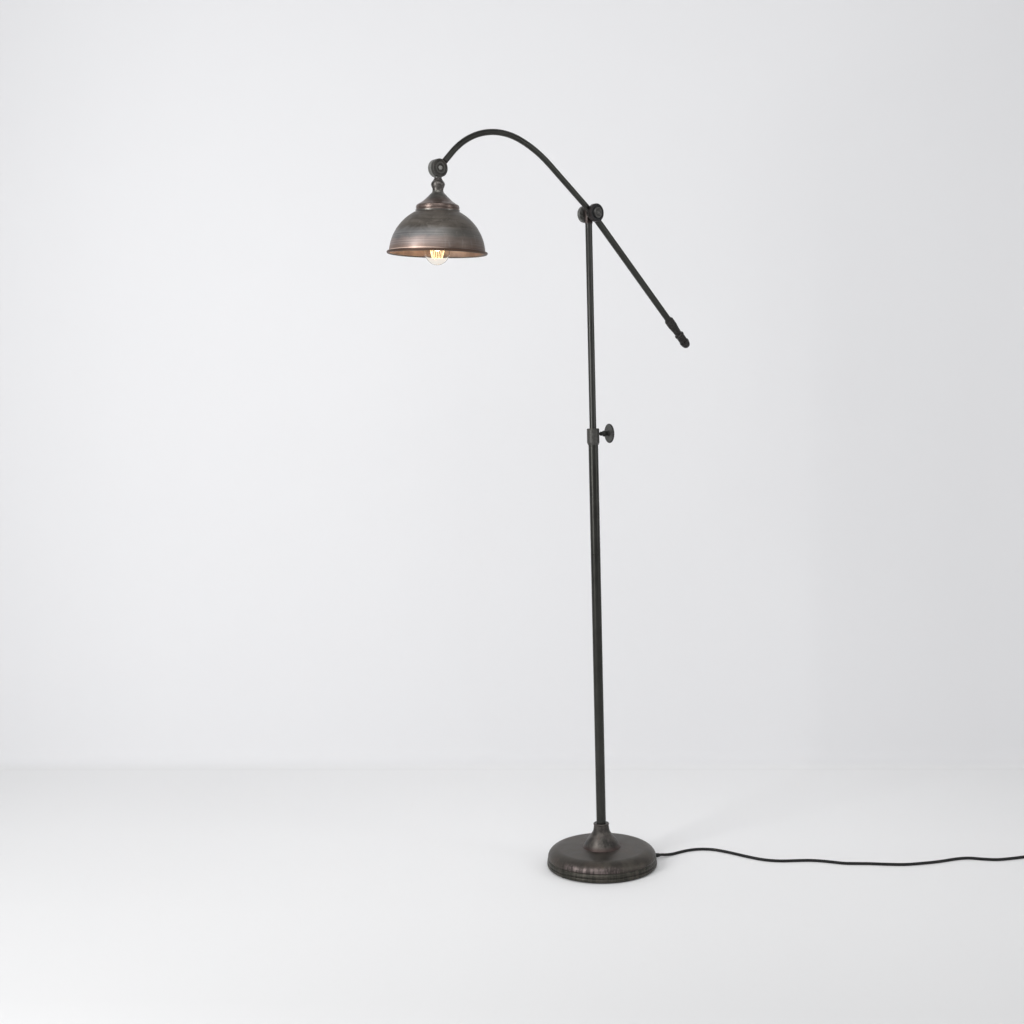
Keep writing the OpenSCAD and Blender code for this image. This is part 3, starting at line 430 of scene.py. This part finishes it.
def aged_bronze(name, dark, light, warm, rough, scale, warmth, metal=0.75):
    """Cast or turned metal with a worn dark finish: mottled tone, warm wear, fine grain."""
    g = Graph(name)
    clouds = g.noise(scale, detail=6, rough=0.6)
    wear = g.noise(scale * 0.45, detail=5, rough=0.65, distortion=0.6)
    grain = g.noise(scale * 14, detail=3, rough=0.6)
    tone = g.mix(g.step(clouds, 0.35, 0.68), dark, light)
    tone = g.mix(g.times(g.step(wear, 0.5, 0.72), warmth), tone, warm)
    g.set(Base_Color=tone, Metallic=metal,
          Roughness=g.ramp(clouds, (0.3, rough - 0.06), (0.7, rough + 0.1)),
          Normal=g.bump(grain, distance=0.0003, strength=0.35))
    return g


def tube_bronze():
    return aged_bronze("tube_bronze", dark=(0.041, 0.041, 0.037), light=(0.052, 0.052, 0.047),
                       warm=(0.06, 0.054, 0.047), metal=0.9, rough=0.3, scale=14, warmth=0.2).material


def mast_bronze():
    """The upper tube: the tube bronze made lighter, as a painted highlight for its brighter shine."""
    return aged_bronze("mast_bronze", dark=(0.05, 0.05, 0.047), light=(0.062, 0.062, 0.058),
                       warm=(0.07, 0.065, 0.058), metal=0.9, rough=0.34, scale=14, warmth=0.2).material


def collar_bronze():
    return aged_bronze("collar_bronze", dark=(0.05, 0.049, 0.045), light=(0.085, 0.083, 0.077),
                       warm=(0.09, 0.078, 0.068), metal=0.6, rough=0.45, scale=170, warmth=0.3).material


def tail_bronze():
    return aged_bronze("tail_bronze", dark=(0.024, 0.022, 0.021), light=(0.05, 0.047, 0.044),
                       warm=(0.085, 0.068, 0.06), rough=0.38, scale=190, warmth=0.4).material


# Painted light: the post's tone is raised to offset the shade that the hub and knob cast on it.
def red_bronze():
    return aged_bronze("red_bronze", dark=(0.085, 0.068, 0.062), light=(0.135, 0.11, 0.102),
                       warm=(0.15, 0.12, 0.11), rough=0.36, scale=110, warmth=0.4).material


def rear_metal():
    return aged_bronze("rear_metal", dark=(0.09, 0.09, 0.084), light=(0.22, 0.22, 0.205),
                       warm=(0.16, 0.14, 0.125), metal=0.35, rough=0.45, scale=150, warmth=0.2).material


def urn_bronze():
    return aged_bronze("urn_bronze", dark=(0.06, 0.055, 0.052), light=(0.14, 0.128, 0.12),
                       warm=(0.15, 0.12, 0.108), metal=0.8, rough=0.33, scale=95, warmth=0.3).material


def base_bronze():
    """The foot: brown satin crown, a darker bell, and upright strokes beaten round the shoulder, with a
    painted highlight on the strokes of its lit side.
    """
    g = aged_bronze("base_bronze", dark=(0.052, 0.046, 0.039), light=(0.084, 0.075, 0.063),
                    warm=(0.1, 0.075, 0.063), metal=0.7, rough=0.42, scale=38, warmth=0.4)
    height = g.along(ORIGIN, UP)
    strokes = g.noise(115, detail=4, rough=0.6, place=g.scaled((1, 1, 0.06)))
    shoulder = g.band(height, STROKES_START, STROKES_END)
    lit = g.step(g.along(ORIGIN, FOOT_LIT_SIDE), *FOOT_LIT)
    # Painted highlight: pale strokes only on the shoulder's lit side.
    stroke_highlight_tone = g.mix(g.step(strokes, 0.42, 0.64), (0.05, 0.04, 0.037), (0.165, 0.134, 0.127))
    tone = g.mix(g.times(shoulder, lit), g.base_colour(), stroke_highlight_tone)
    band_tone = g.mix(g.step(strokes, 0.4, 0.65), (0.033, 0.032, 0.026), (0.07, 0.063, 0.052))
    tone = g.mix(g.less(g.step(height, *BAND_TOP)), tone, band_tone)
    mottle = g.noise(46, detail=5, rough=0.6)
    bell_tone = g.mix(g.step(mottle, 0.35, 0.65), (0.034, 0.032, 0.029), (0.1, 0.089, 0.08))
    bell_tone = g.mix(g.step(height, *BELL_RISE), (0.062, 0.044, 0.039), bell_tone)
    tone = g.mix(g.step(height, *BELL_START), tone, bell_tone)
    dents = g.math("ADD", g.times(g.times(strokes, shoulder), 1.2),
                   g.times(g.cells(34, g.scaled((1, 1, 0.3))), 0.5))
    normal = g.bump(dents, distance=0.002, strength=0.4)
    grain = g.noise(520, detail=3, rough=0.6)
    g.set(Base_Color=tone, Normal=g.bump(grain, distance=0.0003, strength=0.3, normal=normal))
    return g.material


def screw_metal():
    """Thumb screw: a grey disc with a dark edge, on near-black beads."""
    g = aged_bronze("screw_metal", dark=(0.07, 0.071, 0.065), light=(0.125, 0.126, 0.117),
                    warm=(0.1, 0.09, 0.078), metal=0.6, rough=0.45, scale=210, warmth=0.2)
    edge = g.step(g.distance(DISC_CENTRE), *DISC_EDGE)
    beads = g.less(g.step(g.along(ORIGIN, THUMB_AXIS), *DISC_BACK))
    g.set(Base_Color=g.mix(g.math("MAXIMUM", edge, beads), g.base_colour(), (0.022, 0.022, 0.021)))
    return g.material


def knob_metal():
    """Front knob: a grooved grey boss on a near-black face, with a worn brown edge; a darker ring on
    the boss is painted shade.
    """
    g = aged_bronze("knob_metal", dark=(0.08, 0.078, 0.074), light=(0.122, 0.119, 0.113),
                    warm=(0.1, 0.083, 0.073), rough=0.36, scale=150, warmth=0.2)
    reach = g.reach(PIVOT)
    # Painted shade: a darker ring where the boss is grooved.
    groove_shade = g.times(g.band(reach, GROOVE_START, GROOVE_END), 0.5)
    black = g.math("MAXIMUM", g.step(reach, *BOSS_EDGE), groove_shade)
    tone = g.mix(black, g.base_colour(), (0.034, 0.034, 0.035))
    side = g.mix(g.noise(160), (0.022, 0.019, 0.019), (0.05, 0.042, 0.041))
    g.set(Base_Color=g.mix(g.step(reach, *KNOB_EDGE), tone, side))
    return g.material


def dark_bronze():
    """Castings that stay in shade: the hub, and the arm's half of the knuckle with its lighter rings.
    """
    g = aged_bronze("dark_bronze", dark=(0.026, 0.025, 0.023), light=(0.05, 0.047, 0.042),
                    warm=(0.075, 0.06, 0.053), rough=0.38, scale=110, warmth=0.3)
    reach = g.reach(HINGE)
    rings = g.math("MAXIMUM", g.band(reach, RING_START, RING_END), g.band(reach, RIM_START, RIM_END))
    g.set(Base_Color=g.mix(g.times(rings, 0.25), g.base_colour(), (0.15, 0.15, 0.14)))
    return g.material


def pale_bronze():
    """The shade's half of the knuckle: a pale disc on a dark neck."""
    g = aged_bronze("pale_bronze", dark=(0.13, 0.132, 0.124), light=(0.23, 0.23, 0.215),
                    warm=(0.2, 0.175, 0.165), metal=0.5, rough=0.42, scale=95, warmth=0.3)
    neck = g.step(g.reach(HINGE), *KNUCKLE_EDGE)
    g.set(Base_Color=g.mix(neck, g.base_colour(), (0.06, 0.055, 0.052)))
    return g.material


def bright_steel():
    g = Graph("bright_steel")
    grain = g.noise(600, detail=3, rough=0.6, place=g.scaled((1, 1, 6)))
    g.set(Base_Color=g.ramp(g.noise(160), (0.3, (0.5, 0.49, 0.47)), (0.7, (0.66, 0.65, 0.62))),
          Metallic=1.0, Roughness=g.ramp(grain, (0.3, 0.22), (0.7, 0.36)),
          Normal=g.bump(grain, distance=0.0001, strength=0.3))
    return g.material


def brass():
    g = Graph("brass")
    tarnish = g.noise(140, detail=5, rough=0.6)
    g.set(Base_Color=g.ramp(tarnish, (0.3, (0.55, 0.38, 0.16)), (0.7, (0.74, 0.56, 0.27))),
          Metallic=1.0, Roughness=g.ramp(tarnish, (0.3, 0.26), (0.7, 0.42)),
          Normal=g.bump(g.noise(900), distance=0.0001, strength=0.3))
    return g.material


# ---- Materials: shade and cap ----

# Depths on the shade's outside, down to its rim
BELT_START = (0.118, 0.134)
MAUVE_START = (0.139, 0.15)
LOW_BROWN_START = (0.154, 0.164)
RIM_HIGHLIGHT_START = (DOME_DEPTH - 0.0088, DOME_DEPTH - 0.0078)
BEAD_START = (DOME_DEPTH - 0.0066, DOME_DEPTH - 0.006)

# Depths between which the shade's inside shows, and the share of the outer ellipsoid where it starts
INSIDE_START = (CROWN_DEPTH, CROWN_DEPTH + 0.001)
INSIDE_END = (DOME_DEPTH - 0.0032, DOME_DEPTH - 0.0026)
INSIDE_SHELL = (0.985, 0.993)

# Reach of each side of the shade, from the middle of its open edge
DOME_HIGHLIGHT = (-0.02, 0.07)
DOME_LIT = (0.055, 0.094)
BEAD_NEAR = (-0.02, 0.03)

# Fine rings: how many in a metre of depth, and how far they wander
RING_RATE = 520
RING_WANDER = 1.6

# Depths on the cap
CAP_LOWER = (0.062, 0.078)
CAP_BAND = (0.0845, 0.0852)


def shade_rings(g, depth):
    """Noise squeezed into fine rings round the shade's axis."""
    place = g.add("ShaderNodeCombineXYZ")
    g.feed(place.inputs["X"], g.times(g.noise(8, detail=2), RING_WANDER))
    g.feed(place.inputs["Z"], g.times(depth, RING_RATE))
    return g.noise(1.0, detail=4, rough=0.75, place=place.outputs[0])


def shade_patina(g, depth, clouds, rings):
    """Brown, a blue-grey belt, mauve and brown again from the top down, with rings and streaks; the
    belt, mauve and lower brown are lighter on the lit side as painted highlight and reflection.
    """
    # Painted highlight and reflection: lighter tones on the shade's lit side.
    highlight_side = g.step(g.along(DOME_CENTRE, DOME_HIGHLIGHT_SIDE), *DOME_HIGHLIGHT)
    brown = g.mix(g.step(clouds, 0.34, 0.68), (0.095, 0.083, 0.07), (0.165, 0.145, 0.124))
    belt = g.mix(highlight_side, g.mix(clouds, (0.1, 0.093, 0.083), (0.15, 0.142, 0.13)),
                 g.mix(clouds, (0.14, 0.137, 0.134), (0.27, 0.27, 0.27)))
    mauve = g.mix(highlight_side, g.mix(clouds, (0.11, 0.088, 0.076), (0.18, 0.146, 0.128)),
                  g.mix(clouds, (0.2, 0.162, 0.15), (0.38, 0.315, 0.292)))
    low_brown = g.mix(highlight_side, (0.13, 0.095, 0.078), (0.24, 0.17, 0.14))
    level = g.math("ADD", depth, g.times(g.math("SUBTRACT", clouds, 0.5), 0.02))
    tone = g.mix(g.step(level, *BELT_START), brown, belt)
    tone = g.mix(g.step(level, *MAUVE_START), tone, mauve)
    tone = g.mix(g.step(level, *LOW_BROWN_START), tone, low_brown)
    streaks = g.noise(85, detail=4, rough=0.65, place=g.scaled((1, 1, 0.1)))
    tone = g.mix(g.times(g.step(rings, 0.52, 0.7), 0.4), tone, (0.28, 0.24, 0.215))
    tone = g.mix(g.times(g.step(rings, 0.52, 0.34), 0.5), tone, (0.05, 0.043, 0.038))
    return g.mix(g.times(g.step(streaks, 0.54, 0.68), 0.22), tone, (0.3, 0.27, 0.25))


def shade_rim(g, depth, tone):
    """Adds a painted highlight, a bright copper line above the rolled rim on its lit side, and the
    rim's brown, a little more copper on its near side as a painted reflection.
    """
    # Painted highlight: a bright copper line just above the rim, strong on the lit side only.
    lit = g.step(g.along(DOME_CENTRE, DOME_LIT_SIDE), *DOME_LIT)
    rim_highlight = g.mix(lit, (0.12, 0.09, 0.075), (0.72, 0.55, 0.46))
    # Painted reflection: the bead's near side is a little more copper than its far side.
    near = g.step(g.along(DOME_CENTRE, CAMERA_SIDE), *BEAD_NEAR)
    bead = g.mix(near, (0.07, 0.056, 0.048), (0.085, 0.052, 0.038))
    tone = g.mix(g.step(depth, *RIM_HIGHLIGHT_START), tone, rim_highlight)
    return g.mix(g.step(depth, *BEAD_START), tone, bead)


def shade_inside(g, depth):
    """1 on the dome's inner face, 0 on its outer one and on the rim."""
    height = g.along(DOME_CENTRE, HEAD_AXIS)
    shell = g.math("ADD", g.math("POWER", g.math("DIVIDE", g.distance(DOME_CENTRE), DOME_R), 2),
                   g.times(g.math("POWER", height, 2), DOME_H ** -2 - DOME_R ** -2))
    return g.times(g.less(g.step(shell, *INSIDE_SHELL)), g.band(depth, INSIDE_START, INSIDE_END))


def shade_bronze():
    """Spun shade: patina with fine rings outside, painted highlight and reflection on its lit side and
    at the rim, cream inside.
    """
    g = Graph("shade_bronze")
    depth = g.along(HINGE, HEAD_AXIS)
    rings = shade_rings(g, depth)
    clouds = g.noise(26, detail=6, rough=0.68, place=g.scaled((1, 1, 1.8)), distortion=0.7)
    tone = shade_rim(g, depth, shade_patina(g, depth, clouds, rings))
    inside = shade_inside(g, depth)
    cream = g.mix(g.step(g.noise(60), 0.3, 0.7), (0.2, 0.134, 0.1), (0.29, 0.205, 0.155))
    g.set(Base_Color=g.mix(inside, tone, cream),
          Metallic=g.math("SUBTRACT", 0.75, g.times(inside, 0.55)),
          Roughness=g.ramp(clouds, (0.3, 0.4), (0.7, 0.54)),
          Normal=g.bump(rings, distance=0.0003, strength=0.3))
    return g.material


def cap_bronze():
    """Flared cap over the shade: grey-green at the neck, reddish brown toward the band."""
    g = Graph("cap_bronze")
    depth = g.along(HINGE, HEAD_AXIS)
    clouds = g.noise(60, detail=5, rough=0.6, place=g.scaled((1, 1, 2)), distortion=0.4)
    mottle = g.step(clouds, 0.34, 0.66)
    upper = g.mix(mottle, (0.088, 0.085, 0.077), (0.145, 0.14, 0.127))
    lower = g.mix(mottle, (0.115, 0.086, 0.074), (0.175, 0.134, 0.117))
    level = g.math("ADD", depth, g.times(clouds, 0.016))
    tone = g.mix(g.step(level, *CAP_LOWER), upper, lower)
    tone = g.mix(g.step(depth, *CAP_BAND), tone, (0.12, 0.115, 0.105))
    grain = g.noise(500, detail=3, rough=0.6)
    g.set(Base_Color=tone, Metallic=0.8, Roughness=g.ramp(clouds, (0.3, 0.28), (0.7, 0.4)),
          Normal=g.bump(grain, distance=0.0002, strength=0.3))
    return g.material


# ---- Materials: cord, hidden pieces and bulb ----


def black_jacket():
    g = Graph("black_jacket")
    dust = g.noise(240, detail=5, rough=0.6)
    g.set(Base_Color=g.ramp(dust, (0.35, (0.006, 0.006, 0.006)), (0.75, (0.016, 0.016, 0.016))),
          Roughness=g.ramp(dust, (0.3, 0.4), (0.7, 0.55)), Specular_IOR_Level=0.25,
          Normal=g.bump(g.noise(700), distance=0.0002, strength=0.3))
    return g.material


def plain(name, low, high, scale, rough, grain=0.0003, metal=0.0):
    """A matt or glazed material with a fine mottle."""
    g = Graph(name)
    mottle = g.noise(scale, detail=5, rough=0.6)
    g.set(Base_Color=g.ramp(mottle, (0.3, low), (0.7, high)), Metallic=metal,
          Roughness=g.ramp(mottle, (0.3, rough - 0.05), (0.7, rough + 0.05)),
          Normal=g.bump(g.noise(scale * 6), distance=grain, strength=0.4))
    return g.material


def dull_steel():
    return plain("dull_steel", (0.2, 0.2, 0.19), (0.34, 0.335, 0.32), scale=300, rough=0.45, metal=0.8)


def cast_iron():
    return plain("cast_iron", (0.03, 0.03, 0.032), (0.07, 0.068, 0.066), scale=90, rough=0.7,
                 grain=0.0008)


def felt():
    return plain("felt", (0.01, 0.02, 0.012), (0.03, 0.05, 0.032), scale=500, rough=0.95, grain=0.001)


def fibre():
    return plain("fibre", (0.022, 0.018, 0.016), (0.045, 0.036, 0.031), scale=200, rough=0.7)


def porcelain():
    return plain("porcelain", (0.75, 0.73, 0.66), (0.85, 0.83, 0.77), scale=80, rough=0.35)


def holder_black():
    return plain("holder_black", (0.01, 0.01, 0.01), (0.025, 0.024, 0.023), scale=150, rough=0.4)


def lamp_glass():
    g = Graph("lamp_glass")
    g.set(Base_Color=(1.0, 0.97, 0.92), Roughness=g.ramp(g.noise(90), (0.3, 0.0), (0.7, 0.03)),
          Transmission_Weight=1.0, IOR=1.06)
    return g.material


def lit_wire():
    g = Graph("lit_wire")
    heat = g.noise(200, detail=2)
    g.set(Base_Color=(1.0, 0.8, 0.5), Emission_Strength=1.1,
          Emission_Color=g.ramp(heat, (0.3, (1.0, 0.76, 0.42)), (0.7, (1.0, 0.84, 0.55))))
    return g.material


paint(base_bronze(), "base_cover", "base_bell", "bell_ring")
paint(tube_bronze(), "lower_tube", "arm_rod", "tail_tube")
paint(mast_bronze(), "upper_tube")
paint(collar_bronze(), "clutch_collar")
paint(tail_bronze(), "tail_ferrule", "tail_knob")
paint(dark_bronze(), "pivot_hub", "knuckle_arm")
paint(pale_bronze(), "knuckle_shade")
paint(urn_bronze(), "neck_urn")
paint(red_bronze(), "pivot_post")
paint(screw_metal(), "clamp_screw", "clamp_knob")
paint(rear_metal(), "rear_disc")
paint(dull_steel(), "knuckle_screw")
paint(knob_metal(), "pivot_knob")
paint(shade_bronze(), "shade_dome")
paint(cap_bronze(), "shade_cap")
paint(bright_steel(), "base_washer", "base_nut", "bush_clips", "pivot_nut", "knuckle_nut", "lock_nut",
      "bulb_cap")
paint(brass(), "base_nipple", "tube_insert", "clamp_shoe", "guide_bush", "cap_spacer",
      "socket_nipple", "screw_shell", "contact_tab", "plug_blades")
paint(cast_iron(), "base_weight")
paint(felt(), "felt_pad")
paint(fibre(), "rear_washer", "front_washer")
paint(porcelain(), "insulator", "tail_switch")
paint(holder_black(), "holder_cap", "lamp_holder")
BLACK = black_jacket()
paint(BLACK, "cord_gland", "base_lead", "mast_lead", "arm_lead", "plug_body")
CORD.data.materials.append(BLACK)
paint(lamp_glass(), "bulb_glass", "bulb_stem")
WIRE.data.materials.append(lit_wire())

# ---- Stage: floor and wall ----

WALL_SKEW = math.radians(5.4)
WALL_TURN = -VIEW_TURN - WALL_SKEW
WALL_AWAY = 0.86
WALL_HEIGHT = 5.0
FLOOR_NEAR = -12.0
STAGE_HALF = 9.0
COVE_R = 0.05
COVE_STEPS = 8

# Spans that the tones run over, in the stage's own frame: X to the right, Y away from the camera
ACROSS_SPAN = (-1.5, 1.5)
AWAY_SPAN = (-0.9, 0.9)
WALL_FOOT = (0.0, 0.016)

# Grey levels at shares of a span, which paint light and shade: the floor's, and last those that dim the
# floor and wall together
FLOOR_AWAY = ((0.083, 0.77), (0.32, 0.85), (0.46, 0.88), (0.61, 0.91), (0.945, 0.92), (0.965, 0.85))
FLOOR_ACROSS = ((0.13, 0.94), (0.4, 1.0))
STAGE_ACROSS = ((0.03, 1.0), (0.37, 0.96), (0.7, 0.955), (0.97, 0.9))


def stage_profile():
    """Floor, a small cove and wall, as distances away and up."""
    turns = [math.radians(90) * k / COVE_STEPS for k in range(COVE_STEPS + 1)]
    cove = [(WALL_AWAY - COVE_R + COVE_R * math.sin(turn), COVE_R - COVE_R * math.cos(turn))
            for turn in turns]
    return [(FLOOR_NEAR, 0.0), *cove, (WALL_AWAY, WALL_HEIGHT)]


def stage_paint():
    """Pale grey, graded with painted light and shade: darker toward the front, the right, the floor's
    far left and the wall's foot, lighter toward the wall; clear to a camera behind the wall.
    """
    g = Graph("stage_paint")
    away = g.share(g.along(ORIGIN, (0, 1, 0)), *AWAY_SPAN)
    across = g.share(g.along(ORIGIN, (1, 0, 0)), *ACROSS_SPAN)
    floor = g.mix(1.0, g.ramp(away, *FLOOR_AWAY), g.ramp(across, *FLOOR_ACROSS), "MULTIPLY")
    wall = g.mix(g.noise(2, detail=2), (0.79, 0.79, 0.80), (0.806, 0.806, 0.816))
    tone = g.mix(g.step(g.along(ORIGIN, UP), *WALL_FOOT), floor, wall)
    g.set(Base_Color=g.mix(1.0, tone, g.ramp(across, *STAGE_ACROSS), "MULTIPLY"), Roughness=0.9)
    seen_from_behind = g.times(g.add("ShaderNodeNewGeometry").outputs["Backfacing"],
                               g.add("ShaderNodeLightPath").outputs["Is Camera Ray"])
    surface = g.add("ShaderNodeMixShader")
    g.feed(surface.inputs[0], seen_from_behind)
    g.feed(surface.inputs[1], g.shader.outputs[0])
    g.feed(surface.inputs[2], g.add("ShaderNodeBsdfTransparent").outputs[0])
    g.feed(g.output.inputs["Surface"], surface.outputs[0])
    return g.material


def make_stage():
    profile = stage_profile()
    verts = [(side * STAGE_HALF, y, z) for y, z in profile for side in (-1, 1)]
    faces = [(2 * k, 2 * k + 1, 2 * k + 3, 2 * k + 2) for k in range(len(profile) - 1)]
    mesh = bpy.data.meshes.new("stage")
    mesh.from_pydata(verts, [], faces)
    mesh.shade_smooth()
    mesh.materials.append(stage_paint())
    stage = bpy.data.objects.new("stage", mesh)
    stage.rotation_euler = (0, 0, WALL_TURN)
    bpy.context.scene.collection.objects.link(stage)


# ---- Light ----

ROOM_COLOUR = (0.97, 0.975, 1.0)
ROOM_POWER = 0.38
BULB_DEPTH = 0.155
BULB_POWER = 1.6
BULB_COLOUR = (1.0, 0.8, 0.58)
BULB_GLOW_R = 0.012


def softbox(name, at, target, wide, tall, power):
    data = bpy.data.lights.new(name, "AREA")
    data.shape = "RECTANGLE"
    data.size = wide
    data.size_y = tall
    data.energy = power
    light = bpy.data.objects.new(name, data)
    light.location = at
    light.rotation_euler = (Vector(target) - Vector(at)).to_track_quat("-Z", "Y").to_euler()
    bpy.context.scene.collection.objects.link(light)


def make_room():
    world = bpy.data.worlds.new("room")
    bpy.context.scene.world = world
    world.use_nodes = True
    background = world.node_tree.nodes["Background"]
    background.inputs["Color"].default_value = (*ROOM_COLOUR, 1)
    background.inputs["Strength"].default_value = ROOM_POWER


def make_bulb_light():
    """The bulb's own light, which moves with the wire and so with the shade."""
    data = bpy.data.lights.new("bulb", "POINT")
    data.energy = BULB_POWER
    data.color = BULB_COLOUR
    data.shadow_soft_size = BULB_GLOW_R
    light = bpy.data.objects.new("bulb_light", data)
    light.location = HINGE + HEAD_AXIS * BULB_DEPTH
    light.parent = WIRE
    bpy.context.scene.collection.objects.link(light)


def make_lights():
    """A tall box on each side of the camera, the left one stronger, a top box, a dim room, the bulb."""
    make_room()
    softbox("left_box", at=(-2.6, -0.1, 1.55), target=(0, 0, 1), wide=0.8, tall=2.0, power=46)
    softbox("right_box", at=(1.0, -2.6, 1.5), target=(0, 0, 1), wide=0.6, tall=2.0, power=14)
    softbox("top_box", at=(-1.6, -1.9, 3.2), target=(0, 0, 0.6), wide=2.4, tall=2.4, power=38)
    make_bulb_light()


make_stage()
make_lights()
bpy.context.scene.view_settings.view_transform = "Standard"

bpy.context.view_layer.update()
